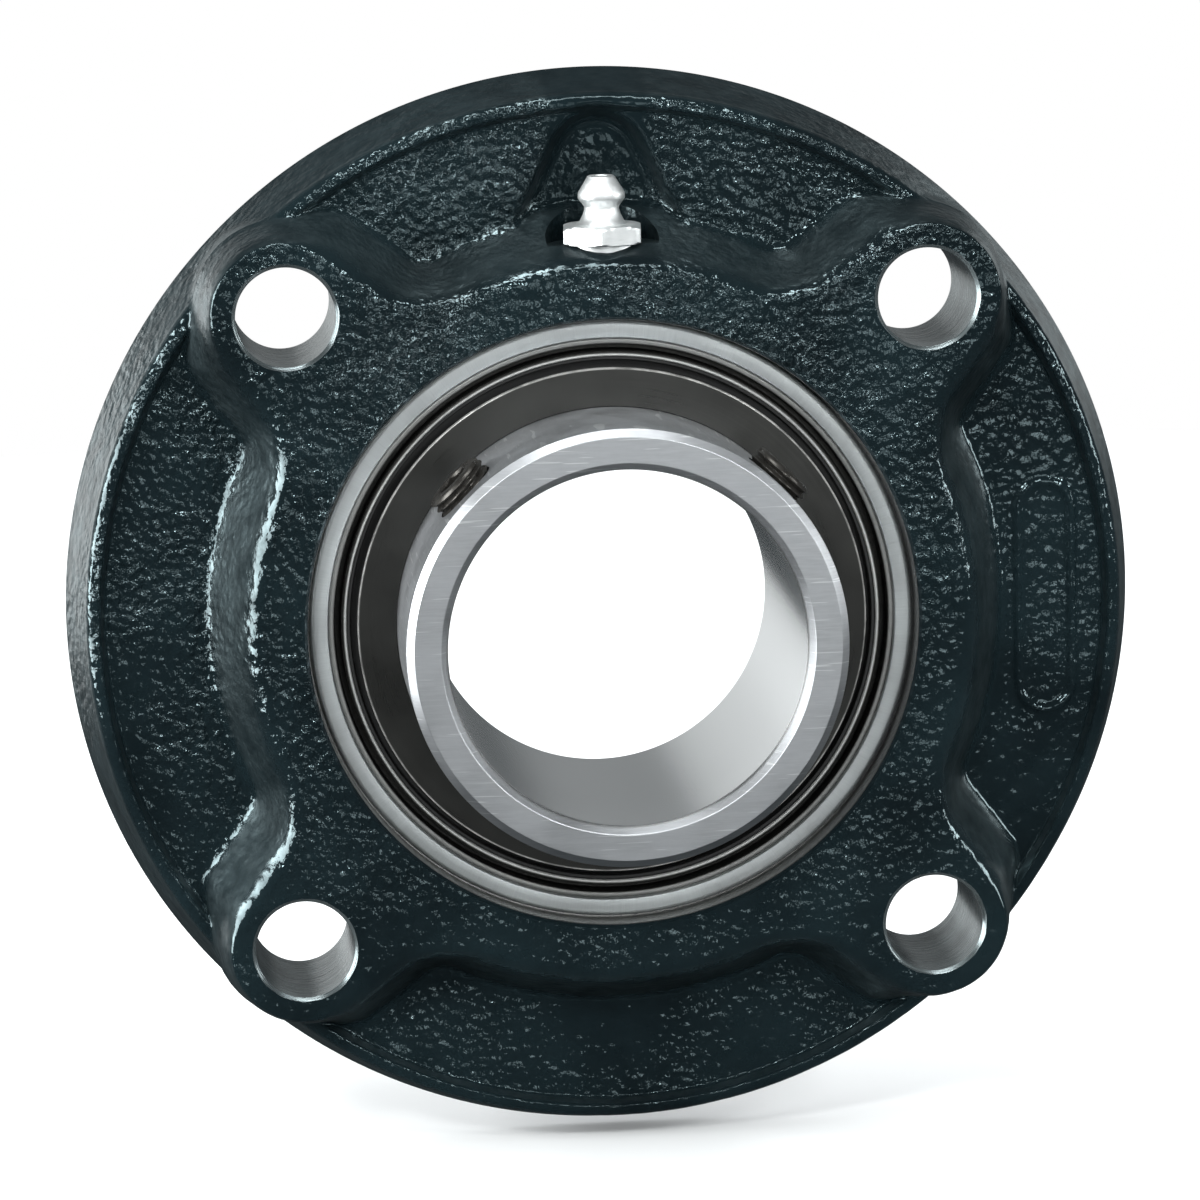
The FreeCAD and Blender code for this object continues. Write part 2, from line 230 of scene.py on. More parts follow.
def turned(name, outline, material, matrix=BEARING, columns=256, base=0.0, radius_change=None):
    """Turns a closed (radius, height) outline about an axis. A radius of 0 closes it on the axis."""
    turn = np.linspace(0, 2 * math.pi, columns, endpoint=False)
    r = np.array([p[0] for p in outline])[:, None] + 0 * turn[None, :]
    h = np.array([p[1] for p in outline])[:, None] + 0 * turn[None, :]
    if radius_change is not None:
        r = r + radius_change(r, h, turn[None, :])
    verts = np.stack([r * np.cos(turn), r * np.sin(turn), h + base], -1).reshape(-1, 3)
    place = np.array(matrix)
    verts = (verts @ place[:3, :3].T + place[:3, 3]) * MM
    obj = new_object(name, verts.tolist(), grid_faces(len(outline), columns, True), [material])
    work = bmesh.new()
    work.from_mesh(obj.data)
    bmesh.ops.remove_doubles(work, verts=work.verts, dist=1e-7)
    bmesh.ops.dissolve_degenerate(work, dist=1e-8, edges=work.edges)
    bmesh.ops.recalc_face_normals(work, faces=work.faces)
    work.to_mesh(obj.data)
    work.free()
    return obj


def weighted(obj):
    """Keeps flat faces evenly shaded beside their rounded edges."""
    modifier = obj.modifiers.new("even_shading", "WEIGHTED_NORMAL")
    modifier.keep_sharp = True
    return obj


def prism(name, corners, low, high, matrix, material):
    """Straight block on a (x, y) outline, from height low to high."""
    place = np.array(matrix)
    flat = np.array(corners, float)
    verts = [np.column_stack([flat, np.full(len(flat), h)]) for h in (low, high)]
    verts = (np.vstack(verts) @ place[:3, :3].T + place[:3, 3]) * MM
    n = len(flat)
    faces = [tuple(range(n))[::-1], tuple(range(n, 2 * n))]
    faces += [(k, (k + 1) % n, (k + 1) % n + n, k + n) for k in range(n)]
    return outward(new_object(name, verts.tolist(), faces, [material]))


def joined(name, objects):
    """One object of several, keeping their materials."""
    materials = []
    for obj in objects:
        for material in obj.data.materials:
            if material not in materials:
                materials.append(material)
    work = bmesh.new()
    for obj in objects:
        first = len(work.faces)
        work.from_mesh(obj.data)
        work.faces.ensure_lookup_table()
        own = [materials.index(m) for m in obj.data.materials]
        for face in work.faces[first:]:
            face.material_index = own[face.material_index]
    mesh = bpy.data.meshes.new(name)
    work.to_mesh(mesh)
    work.free()
    for material in materials:
        mesh.materials.append(material)
    for obj in objects:
        bpy.data.objects.remove(obj)
    result = bpy.data.objects.new(name, mesh)
    bpy.context.scene.collection.objects.link(result)
    return result


def cut(obj, cutter):
    """Takes the cutter out of the object; the cut faces keep the cutter's material."""
    modifier = obj.modifiers.new("cut", "BOOLEAN")
    modifier.operation = "DIFFERENCE"
    modifier.object = cutter
    modifier.solver = "EXACT"
    modifier.material_mode = "TRANSFER"
    graph = bpy.context.evaluated_depsgraph_get()
    mesh = bpy.data.meshes.new_from_object(obj.evaluated_get(graph))
    obj.modifiers.clear()
    old = obj.data
    obj.data = mesh
    bpy.data.meshes.remove(old)
    bpy.data.objects.remove(cutter)
    obj.data.polygons.foreach_set("use_smooth", [True] * len(obj.data.polygons))
    obj.data.set_sharp_from_angle(angle=math.radians(40))
    return obj


# ---------------------------------------------------------------- materials
class Nodes:
    """Short calls for building a material's nodes."""

    def __init__(self, name):
        self.material = bpy.data.materials.new(name)
        self.material.use_nodes = True
        self.tree = self.material.node_tree
        self.shader = self.tree.nodes["Principled BSDF"]
        self.place = self.tree.nodes.new("ShaderNodeTexCoord").outputs["Object"]

    def node(self, kind, inputs=None, **settings):
        node = self.tree.nodes.new("ShaderNode" + kind)
        for key, value in settings.items():
            setattr(node, key, value)
        for key, value in (inputs or {}).items():
            if isinstance(value, bpy.types.NodeSocket):
                self.tree.links.new(value, node.inputs[key])
            else:
                node.inputs[key].default_value = value
        return node

    def math(self, operation, a, b=0.0, clamp=False):
        return self.node("Math", {0: a, 1: b}, operation=operation, use_clamp=clamp).outputs[0]

    def noise(self, scale, detail=3.0, rough=0.5, vector=None):
        inputs = {"Vector": vector or self.place, "Scale": scale, "Detail": detail, "Roughness": rough}
        return self.node("TexNoise", inputs).outputs["Fac"]

    def stretch(self, scale, rotation=(0, 0, 0)):
        inputs = {"Vector": self.place, "Scale": scale, "Rotation": rotation}
        return self.node("Mapping", inputs).outputs["Vector"]

    def range(self, value, low, high, to_low, to_high, smooth=False):
        kind = "SMOOTHSTEP" if smooth else "LINEAR"
        inputs = {"Value": value, "From Min": low, "From Max": high, "To Min": to_low, "To Max": to_high}
        return self.node("MapRange", inputs, interpolation_type=kind).outputs["Result"]

    def mix(self, factor, a, b):
        a, b = [v if isinstance(v, bpy.types.NodeSocket) else (*v, 1.0) for v in (a, b)]
        node = self.node("Mix", data_type="RGBA")
        for socket, value in ((node.inputs[0], factor), (node.inputs[6], a), (node.inputs[7], b)):
            if isinstance(value, bpy.types.NodeSocket):
                self.tree.links.new(value, socket)
            else:
                socket.default_value = value
        return node.outputs[2]

    def radius(self):
        """Distance from the shaft axis, in metres."""
        split = self.node("SeparateXYZ", {0: self.place})
        x, z = split.outputs["X"], split.outputs["Z"]
        squares = self.math("ADD", self.math("MULTIPLY", x, x), self.math("MULTIPLY", z, z))
        return self.math("SQRT", squares)

    def polar(self, along, around, depth):
        """Radius, angle and depth as a vector, each with its own scale."""
        split = self.node("SeparateXYZ", {0: self.place})
        turn = self.math("ARCTAN2", split.outputs["Z"], split.outputs["X"])
        parts = {"X": self.math("MULTIPLY", self.radius(), along),
                 "Y": self.math("MULTIPLY", turn, around),
                 "Z": self.math("MULTIPLY", split.outputs["Y"], depth)}
        return self.node("CombineXYZ", parts).outputs[0]

    def bump(self, height, distance, strength=1.0):
        inputs = {"Height": height, "Distance": distance, "Strength": strength}
        return self.node("Bump", inputs).outputs["Normal"]

    def set(self, **values):
        for key, value in values.items():
            socket = self.shader.inputs[key.replace("_", " ")]
            if isinstance(value, bpy.types.NodeSocket):
                self.tree.links.new(value, socket)
            else:
                socket.default_value = value
        return self.material


def pebble_depth(n, facing, place, off_recess):
    """Strength of the pebbles: in patches, less on walls, low down, to the right and in the recess."""
    level = n.range(facing, 0.70, 0.97, 0.30, 1.0, True)
    patches = n.range(n.noise(60, 2.0), 0.38, 0.60, 0.40, 1.15)
    patches = n.math("MULTIPLY", patches, n.range(place["Z"], -0.040, 0.030, 0.55, 1.15, True))
    patches = n.math("MULTIPLY", patches, n.range(place["X"], 0.030, 0.055, 1.0, 0.50, True))
    return n.math("MULTIPLY", n.math("MULTIPLY", level, patches), n.range(off_recess, 0, 1, 0.2, 1.0))


def enamel():
    """Blue-black gloss enamel on a pebbled cast skin; walls have fainter pebbles and a softer sheen."""
    n = Nodes("gloss_enamel")
    cloud = n.range(n.noise(45), 0.35, 0.65, 0, 1)
    tint = n.mix(cloud, (0.0028, 0.0050, 0.0060), (0.0052, 0.0098, 0.0116))
    normal = n.node("SeparateXYZ", {0: n.node("NewGeometry").outputs["Normal"]})
    facing = n.math("ABSOLUTE", normal.outputs["Y"])
    place = n.node("SeparateXYZ", {0: n.place}).outputs
    beside = n.range(n.math("ABSOLUTE", place["X"]), 0.0065, 0.0085, 0.0, 1.0, True)
    below = n.range(place["Z"], 0.050, 0.053, 1.0, 0.0, True)
    off_recess = n.math("MAXIMUM", beside, below)
    voronoi = n.node("TexVoronoi", {"Vector": n.place, "Scale": 820.0}, feature="SMOOTH_F1")
    height = n.math("ADD", n.math("MULTIPLY", voronoi.outputs["Distance"], -0.75),
                    n.math("MULTIPLY", n.noise(1150, 2.0, 0.5), 0.55))
    height = n.math("ADD", height, n.math("MULTIPLY", n.noise(330, 1.0), 0.5))
    pebbles = n.bump(height, 0.00090, pebble_depth(n, facing, place, off_recess))
    steep = n.range(facing, 0.40, 0.75, 0.38, 0.085, True)
    wear_and_highlight = n.range(n.noise(300, 4.0), 0.3, 0.7, 0.0, 0.05)
    shine = n.range(facing, 0.45, 0.92, 1.0, 0.40, True)
    streaks = n.range(n.noise(260, 4.0, 0.6), 0.36, 0.64, 0.55, 1.45)
    shine = n.math("MULTIPLY", shine, n.math("MULTIPLY", streaks, n.range(off_recess, 0, 1, 0.45, 1.0)))
    return n.set(Base_Color=tint, Roughness=n.math("ADD", steep, wear_and_highlight), Normal=pebbles,
                 Specular_IOR_Level=shine, Specular_Tint=(0.74, 0.95, 1.0, 1.0))


def drilled_paint():
    """Thin paint over the drill marks in a bolt hole."""
    n = Nodes("painted_drilling")
    marks = n.noise(1.0, 2.0, 0.6, n.stretch((60, 3200, 60)))
    cloud = n.noise(160, 3.0)
    tint = n.mix(marks, (0.10, 0.12, 0.125), (0.20, 0.23, 0.235))
    tint = n.mix(n.range(cloud, 0.4, 0.7, 0.0, 0.6), tint, (0.06, 0.07, 0.075))
    return n.set(Base_Color=tint, Metallic=0.8, Roughness=n.range(marks, 0.3, 0.7, 0.20, 0.36),
                 Normal=n.bump(marks, 0.00006), Specular_IOR_Level=0.5)


def turned_iron():
    """Machined cast iron: fine turning rings with graphite specks, slightly oiled."""
    n = Nodes("turned_iron")
    rings = n.noise(1.0, 2.0, 0.6, n.polar(3200, 1.5, 3200))
    specks = n.range(n.noise(2600, 2.0), 0.56, 0.68, 0.0, 1.0)
    light = n.mix(rings, (0.30, 0.30, 0.295), (0.46, 0.46, 0.45))
    tint = n.mix(n.math("MULTIPLY", specks, 0.55), light, (0.10, 0.10, 0.10))
    return n.set(Base_Color=tint, Metallic=1.0, Roughness=n.range(rings, 0.3, 0.7, 0.32, 0.48),
                 Normal=n.bump(rings, 0.00002))


def ground_steel():
    """Ground bearing steel with short marks across the face."""
    n = Nodes("ground_ring_steel")
    marks = n.noise(1.0, 3.0, 0.6, n.polar(180, 260, 500))
    cloud = n.noise(1.0, 2.0, 0.5, n.polar(60, 5, 60))
    tint = n.mix(marks, (0.59, 0.62, 0.625), (0.79, 0.82, 0.82))
    tint = n.mix(n.range(cloud, 0.35, 0.65, 0.0, 0.35), tint, (0.50, 0.51, 0.515))
    return n.set(Base_Color=tint, Metallic=1.0, Roughness=n.range(marks, 0.3, 0.7, 0.38, 0.52),
                 Normal=n.bump(marks, 0.000012))


def turned_steel():
    """Inner ring: satin face with stray scratches, polished bore."""
    n = Nodes("turned_ring_steel")
    rings = n.noise(1.0, 3.0, 0.55, n.polar(2400, 1.2, 2400))
    slant = n.noise(1.0, 3.0, 0.6, n.stretch((260, 260, 3400), (0, math.radians(-52), 0)))
    stray = n.noise(1.0, 1.0, 0.5, n.stretch((110, 110, 2600), (0, math.radians(-38), 0)))
    cloud = n.noise(150, 4.0)
    tint = n.mix(n.range(slant, 0.35, 0.65, 0.0, 0.6), (0.52, 0.53, 0.55), (0.64, 0.65, 0.67))
    tint = n.mix(n.range(cloud, 0.40, 0.65, 0.0, 0.5), tint, (0.46, 0.47, 0.49))
    tint = n.mix(n.range(stray, 0.66, 0.70, 0.0, 0.6), tint, (0.85, 0.86, 0.87))
    in_bore = n.range(n.radius(), (BORE_R + 0.15) * MM, (BORE_R + 0.4) * MM, 1.0, 0.0)
    tint = n.mix(in_bore, tint, (0.74, 0.745, 0.75))
    rough = n.range(cloud, 0.35, 0.65, 0.40, 0.50)
    rough = n.range(in_bore, 0.0, 1.0, rough, 0.27)
    height = n.math("ADD", n.math("MULTIPLY", rings, 0.5), n.math("MULTIPLY", slant, 0.5))
    return n.set(Base_Color=tint, Metallic=1.0, Roughness=rough, Normal=n.bump(height, 0.000006))


def black_oxide():
    """Blackened pressed steel; the rolled outer edge carries a painted highlight, light grey and patchy."""
    n = Nodes("blackened_sheet")
    rings = n.noise(1.0, 2.0, 0.6, n.polar(1500, 1.0, 1500))
    cloud = n.noise(110, 3.0)
    tint = n.mix(cloud, (0.016, 0.016, 0.015), (0.042, 0.042, 0.039))
    # Painted highlight: a light grey band along the flinger's outer edge, made patchy by noise.
    edge = n.range(n.radius(), (FLINGER_R - 0.32) * MM, (FLINGER_R - 0.10) * MM, 0.0, 1.0)
    wear_and_highlight = n.math("MULTIPLY", edge, n.range(n.noise(420, 3.0), 0.35, 0.6, 0.45, 1.0), True)
    tint = n.mix(wear_and_highlight, tint, (0.55, 0.54, 0.52))
    rough = n.range(n.math("ADD", n.math("MULTIPLY", rings, 0.5), n.math("MULTIPLY", cloud, 0.5)),
                    0.35, 0.65, 0.26, 0.40)
    return n.set(Base_Color=tint, Metallic=0.6, Roughness=rough, Normal=n.bump(rings, 0.000015))


def shell_steel():
    """Phosphated seal shell; its front edges carry a painted highlight."""
    n = Nodes("phosphated_shell")
    grain = n.noise(1400, 4.0, 0.6)
    tint = n.mix(grain, (0.016, 0.016, 0.015), (0.050, 0.049, 0.046))
    # Painted highlight: light grey lines on the front face at the shell's inner edge and, fainter, at its outer
    # edge.
    inner_edge = n.range(n.radius(), 38.75 * MM, 39.0 * MM, 1.0, 0.0)
    outer_edge = n.range(n.radius(), 40.35 * MM, 40.6 * MM, 0.0, 0.35)
    edge = n.math("MAXIMUM", inner_edge, outer_edge)
    split = n.node("SeparateXYZ", {0: n.place})
    depth = n.math("ABSOLUTE", n.math("ADD", split.outputs["Y"], BALL_Z * MM))
    top = n.range(depth, 9.9 * MM, 10.1 * MM, 0.0, 1.0)
    edge_highlight = n.math("MULTIPLY", edge, top, True)
    tint = n.mix(edge_highlight, tint, (0.72, 0.72, 0.70))
    return n.set(Base_Color=tint, Metallic=0.8, Roughness=n.range(grain, 0.3, 0.7, 0.30, 0.5),
                 Normal=n.bump(grain, 0.00003))


def rubber():
    """Matt black rubber of the seal lips."""
    n = Nodes("seal_rubber")
    grain = n.noise(1500, 4.0, 0.6)
    tint = n.mix(grain, (0.010, 0.010, 0.010), (0.022, 0.022, 0.022))
    return n.set(Base_Color=tint, Roughness=n.range(grain, 0.3, 0.7, 0.5, 0.75),
                 Normal=n.bump(grain, 0.00003), Specular_IOR_Level=0.35)


def screw_oxide():
    """Oiled black oxide on the set screws."""
    n = Nodes("oiled_black_screw")
    grain = n.noise(900, 4.0, 0.6)
    tint = n.mix(grain, (0.022, 0.020, 0.018), (0.070, 0.066, 0.060))
    return n.set(Base_Color=tint, Metallic=0.7, Roughness=n.range(grain, 0.3, 0.7, 0.22, 0.42),
                 Normal=n.bump(grain, 0.00002))


def zinc():
    """Bright zinc plate with soft handling marks."""
    n = Nodes("bright_zinc")
    cloud = n.noise(500, 4.0, 0.6)
    lines = n.noise(1.0, 3.0, 0.6, n.stretch((300, 300, 3600)))
    tint = n.mix(cloud, (0.80, 0.82, 0.82), (0.92, 0.93, 0.93))
    height = n.math("ADD", n.math("MULTIPLY", cloud, 0.5), n.math("MULTIPLY", lines, 0.5))
    return n.set(Base_Color=tint, Metallic=1.0, Roughness=n.range(height, 0.35, 0.65, 0.42, 0.55),
                 Normal=n.bump(height, 0.00002))


def plain_metal(name, dark, light, rough_low, rough_high, scale):
    """Lapped balls, pressed cage, spring wire: hidden or small parts."""
    n = Nodes(name)
    cloud = n.noise(scale, 4.0, 0.55)
    return n.set(Base_Color=n.mix(cloud, dark, light), Metallic=1.0,
                 Roughness=n.range(cloud, 0.3, 0.7, rough_low, rough_high),
                 Normal=n.bump(cloud, 0.00001))


ENAMEL = enamel()
DRILLED = drilled_paint()
IRON = turned_iron()
RING_STEEL = ground_steel()
INNER_STEEL = turned_steel()
OXIDE = black_oxide()
SHELL = shell_steel()
RUBBER = rubber()
SCREW = screw_oxide()
ZINC = zinc()
BALL_STEEL = plain_metal("lapped_ball_steel", (0.66, 0.67, 0.68), (0.80, 0.81, 0.82), 0.05, 0.12, 300)
CAGE_STEEL = plain_metal("pressed_cage_steel", (0.42, 0.41, 0.39), (0.56, 0.55, 0.52), 0.28, 0.45, 500)
SPRING_STEEL = plain_metal("drawn_spring_steel", (0.44, 0.44, 0.44), (0.62, 0.62, 0.61), 0.2, 0.4, 900)


# ---------------------------------------------------------------- housing casting
def smooth_max(a, b, width):
    """The larger of two heights, blended where they differ by less than width."""
    near = np.maximum(width - np.abs(a - b), 0) / width
    return np.maximum(a, b) + near * near * width / 4


def smooth_min(a, b, width):
    """The smaller of two heights, blended in the same way."""
    return -smooth_max(-a, -b, width)


def ease(t):
    """Smooth step from 0 to 1."""
    t = np.clip(t, 0, 1)
    return t * t * (3 - 2 * t)


def pad_distance(x, z):
    """Sideways distance from the edge of the front pad: a hub circle with four bosses."""
    hub = np.hypot(x, z) - HUB_R
    arms = np.full_like(hub, 1e3)
    taper = math.radians(BOSS_TAPER)
    root_r = BOSS_R + BOLT_CIRCLE_R * math.sin(taper)
    for angle in BOLT_ANGLES:
        c, s = math.cos(math.radians(angle)), math.sin(math.radians(angle))
        along, across = x * c + z * s, np.abs(z * c - x * s)
        side = across * math.cos(taper) + along * math.sin(taper) - root_r
        end = np.hypot(along - BOLT_CIRCLE_R, across) - BOSS_R
        turn = np.arctan2(across, along - BOLT_CIRCLE_R)
        steep = ease((math.pi / 2 - taper - turn) / math.radians(52))
        end = end * (1 + (BOSS_SLOPE / WALL_SLOPE - 1) * steep)
        at_end = (along - BOLT_CIRCLE_R) * math.cos(taper) > across * math.sin(taper)
        arm = np.where(at_end, end, side)
        arms = np.minimum(arms, np.where(along > 0, arm, 1e3))
    r = BOSS_INNER_ROUND
    inside = np.hypot(np.maximum(r - hub, 0), np.maximum(r - arms, 0))
    return np.maximum(r, np.minimum(hub, arms)) - inside


def scoop_distance(x, z):
    """Sideways distance from the tongue-shaped recess behind the nipple."""
    (near, near_r), (far, far_r) = SCOOP_NEAR, SCOOP_FAR
    length = far - near
    lean = (near_r - far_r) / length
    rise = math.sqrt(1 - lean * lean)
    px, pz = np.abs(x), z - near
    k = -lean * px + rise * pz
    middle = rise * px + lean * pz - near_r
    low = np.hypot(px, pz) - near_r
    high = np.hypot(px, pz - length) - far_r
    return np.where(k < 0, low, np.where(k > rise * length, high, middle))


def frame_ridge(x, z):
    """Raised line of the blank cast frame."""
    straight = (FRAME_LENGTH - FRAME_WIDTH) / 2
    past = z - np.clip(z, -straight, straight)
    off_line = np.abs(np.hypot(x - FRAME_X, past) - (FRAME_WIDTH / 2 - 0.55))
    return FRAME_RISE * ease((0.85 - off_line) / 0.6)


def front_height(x, z):
    """Height of the cast front above the mounting face: pocket floor, lip, recess, frame and pad."""
    r = np.hypot(x, z)
    crest_r = LIP_OUT - LIP_ROUND
    rim = FLOOR_Z + (LIP_Z - FLOOR_Z) * ease((r - LIP_FOOT_R) / (crest_r - LIP_FOOT_R))
    past = np.clip((r - crest_r) / LIP_ROUND, 0, 1)
    rim = rim - LIP_ROUND * (1 - np.sqrt(1 - past * past)) + frame_ridge(x, z)
    scoop = smooth_max(FLOOR_Z - SCOOP_DEPTH + 0 * r, FLOOR_Z + 2.5 * scoop_distance(x, z), 3.0)
    base = smooth_min(rim, scoop, 1.8)
    wall = PAD_Z - WALL_SLOPE * pad_distance(x, z)
    pad = smooth_min(PAD_Z + 0 * r, wall, 4.0)
    return smooth_max(pad, base, 2.8)


def side_radius(height, turn):
    """Outside of the flange: a drafted rim, with the ends of the bosses standing out of it."""
    share = np.clip((height - SIDE_FOOT_Z) / (SIDE_TOP_Z - SIDE_FOOT_Z), 0, 1)
    drafted = FLANGE_R - (FLANGE_R - LIP_OUT) * share
    off_boss = turn % (math.pi / 2) - math.pi / 4
    across = np.clip(np.abs(BOLT_CIRCLE_R * np.sin(off_boss)) / BOSS_FOOT_R, 0, 1)
    boss = BOLT_CIRCLE_R * np.cos(off_boss) + BOSS_FOOT_R * np.sqrt(1 - across * across)
    return smooth_max(drafted, boss, 0.8)


def skin_noise(points, places):
    """Relief of the sand-cast skin at each point: soft pebbles on slow waves."""
    relief = np.empty(len(points))
    for k, p in enumerate(points.tolist()):
        v = Vector(p)
        relief[k] = 0.075 * noise.noise(v * 0.62) + 0.07 * noise.noise(v * 0.14 + Vector((7, 3, 1)))
    return relief * places


def cast_rings(turn, pad_rows=84, lip_rows=46, side_rows=20):
    """Rings of (radius, height) over the cast front and down the side of the flange."""
    cos, sin = np.cos(turn), np.sin(turn)
    split_r = LIP_FOOT_R - 0.6
    edge = side_radius(SIDE_TOP_Z, turn)
    radii = [r + 0 * turn for r in np.linspace(BORE_EDGE_R, split_r, pad_rows, endpoint=False)]
    radii += [split_r + (edge - split_r) * math.sin(bend) for bend in np.linspace(0, math.pi / 2, lip_rows)]
    rings = [(r, front_height(r * cos, r * sin)) for r in radii]
    top = rings[-1][1]
    for step in range(1, side_rows + 1):
        height = top + (1.4 - top) * step / side_rows
        rings.append((side_radius(height, turn), height))
    return rings


def machined_outline():
    """(radius, height) line of the mounting face, pilot, spherical seat and counterbore."""
    seat_r = SPHERE_R + 0.03
    rear_r = math.sqrt(seat_r ** 2 - SEAT_BACK ** 2)
    face = [(FLANGE_R, 0.9), (FLANGE_R - 0.3, 0.3), (FLANGE_R - 0.9, 0.0), (FLANGE_R - 1.3, 0.0),
            (72.0, 0.0), (66.0, 0.0), (60.0, 0.0), (PILOT_R + 1.3, 0.0), (PILOT_R + 0.9, 0.0)]
    pilot = [(PILOT_R + 0.7, -0.15), (PILOT_R + 0.1, -0.3), (PILOT_R, -0.5), (PILOT_R, -0.8), (PILOT_R, -4.0),
             (PILOT_R, -PILOT_BACK + 1.4), (PILOT_R, -PILOT_BACK + 1.05), (PILOT_R - 0.1, -PILOT_BACK + 0.9),
             (PILOT_R - 0.9, -PILOT_BACK + 0.1), (PILOT_R - 1.1, -PILOT_BACK), (PILOT_R - 1.5, -PILOT_BACK)]
    mouth = [(48.0, -PILOT_BACK), (rear_r + 0.6, -PILOT_BACK), (rear_r + 0.25, -PILOT_BACK),
             (rear_r, -PILOT_BACK + 0.25), (rear_r, -PILOT_BACK + 0.6), (rear_r, BALL_Z - SEAT_BACK - 0.2)]
    seat = []
    for step in range(25):
        w = -SEAT_BACK + (SEAT_BACK + SEAT_FRONT) * step / 24
        seat.append((math.sqrt(seat_r ** 2 - w * w), BALL_Z + w))
    counterbore = [(COUNTERBORE_R, BALL_Z + SEAT_FRONT), (COUNTERBORE_R, BALL_Z + SEAT_FRONT + 0.3),
                   (COUNTERBORE_R, PAD_Z - 1.0), (COUNTERBORE_R, PAD_Z - 0.55),
                   (COUNTERBORE_R + 0.08, PAD_Z - 0.42)]
    return face + pilot + mouth + seat + counterbore


def grid_normals(grid):
    """Unit normals of the housing's grid of points, out of the metal."""
    along = np.roll(grid, -1, 0) - np.roll(grid, 1, 0)
    across = np.roll(grid, -1, 1) - np.roll(grid, 1, 1)
    normal = np.cross(along, across)
    normal /= np.maximum(np.linalg.norm(normal, axis=2, keepdims=True), 1e-9)
    on_pad = normal[10, 0]
    return normal * math.copysign(1, -on_pad[1])


def housing_mesh(columns=1200):
    """The casting as one closed grid of rings, with cast skin in front and machined faces behind."""
    turn = np.linspace(0, 2 * math.pi, columns, endpoint=False)
    rings = cast_rings(turn)
    cast_rows = len(rings)
    rings += [(r + 0 * turn, height + 0 * turn) for r, height in machined_outline()]
    r = np.array([ring[0] for ring in rings])
    height = np.array([ring[1] for ring in rings])
    grid = np.stack([r * np.cos(turn), -height, r * np.sin(turn)], -1)

    off_bore = ease((r - BORE_EDGE_R - 0.1) / 0.9)
    off_side = ease(height / 1.5 - 0.8) * (1 - 0.7 * ease((r - LIP_OUT + 2.5) / 2.5))
    amount = (off_bore * off_side)[:cast_rows].reshape(-1)
    cast = grid[:cast_rows].reshape(-1, 3)
    cast += grid_normals(grid)[:cast_rows].reshape(-1, 3) * skin_noise(cast, amount)[:, None]
    grid[:cast_rows] = cast.reshape(cast_rows, columns, 3)

    faces = grid_faces(len(rings), columns, True)
    slots = np.zeros(len(faces), int)
    slots[(cast_rows + 1) * columns:(len(rings) - 1) * columns] = 1
    obj = new_object("housing_casting", (grid.reshape(-1, 3) * MM).tolist(), faces,
                     [ENAMEL, IRON, DRILLED], slots)
    return outward(obj)


def flat_block(name, outline, low, high):
    """Block on an (x, z) outline between two forward distances."""
    place = Matrix(((1, 0, 0, 0), (0, 0, -1, 0), (0, 1, 0, 0), (0, 0, 0, 1)))
    return prism(name, outline, low, high, place, IRON)


def housing_cutters():
    """Bolt holes, the nipple's spot face, the two loading slots and the locking pin's groove."""
    cutters = []
    hole = [(0, -2), (BOLT_HOLE_R, -2), (BOLT_HOLE_R, PAD_Z - 0.5), (BOLT_HOLE_R + 1.5, PAD_Z + 1.0),
            (BOLT_HOLE_R + 1.5, PAD_Z + 3), (0, PAD_Z + 3)]
    for angle in BOLT_ANGLES:
        turn = math.radians(angle)
        place = axis_matrix((BOLT_CIRCLE_R * math.cos(turn), 0, BOLT_CIRCLE_R * math.sin(turn)), (0, -1, 0))
        cutters.append(turned("hole", hole, DRILLED, place, 96))
    spot = [(0, 0), (SPOT_R, 0), (SPOT_R, 6.0), (0, 6.0)]
    cutters.append(turned("spot", spot, ENAMEL, axis_matrix((0, -NIPPLE_Z, NIPPLE_BASE), (0, 0, 1)), 96))
    reach = math.asin(SLOT_HALF / SLOT_R)
    for side in (0, math.pi):
        arc = [(SLOT_R * math.cos(side + reach * t), SLOT_R * math.sin(side + reach * t))
               for t in np.linspace(-1, 1, 17)]
        foot = [(SLOT_FOOT * math.cos(side) - math.sin(side) * h,
                 SLOT_FOOT * math.sin(side) + math.cos(side) * h) for h in (SLOT_HALF, -SLOT_HALF)]
        cutters.append(flat_block("slot", arc + foot, -PILOT_BACK - 1, BALL_Z))
    groove = [(-PIN_GROOVE_HALF, -PIN_GROOVE_R), (PIN_GROOVE_HALF, -PIN_GROOVE_R),
              (PIN_GROOVE_HALF, -PIN_GROOVE_FOOT), (-PIN_GROOVE_HALF, -PIN_GROOVE_FOOT)]
    cutters.append(flat_block("groove", groove, -PILOT_BACK - 1, BALL_Z + 5.3))
    return joined("cutters", cutters)


housing = cut(housing_mesh(), housing_cutters())
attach(housing, "root")
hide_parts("housing")


# ---------------------------------------------------------------- bearing insert
def mirrored(outline):
    """The same outline behind the ball centre."""
    return [(r, -h) for r, h in reversed(outline)]


def arc_points(centre_r, radius, half, inward, steps=14):
    """Race groove from +half to -half, dipping to one side of centre_r."""
    points = []
    for step in range(steps + 1):
        h = half * (1 - 2 * step / steps)
        points.append((centre_r + inward * math.sqrt(radius ** 2 - h * h), h))
    return points


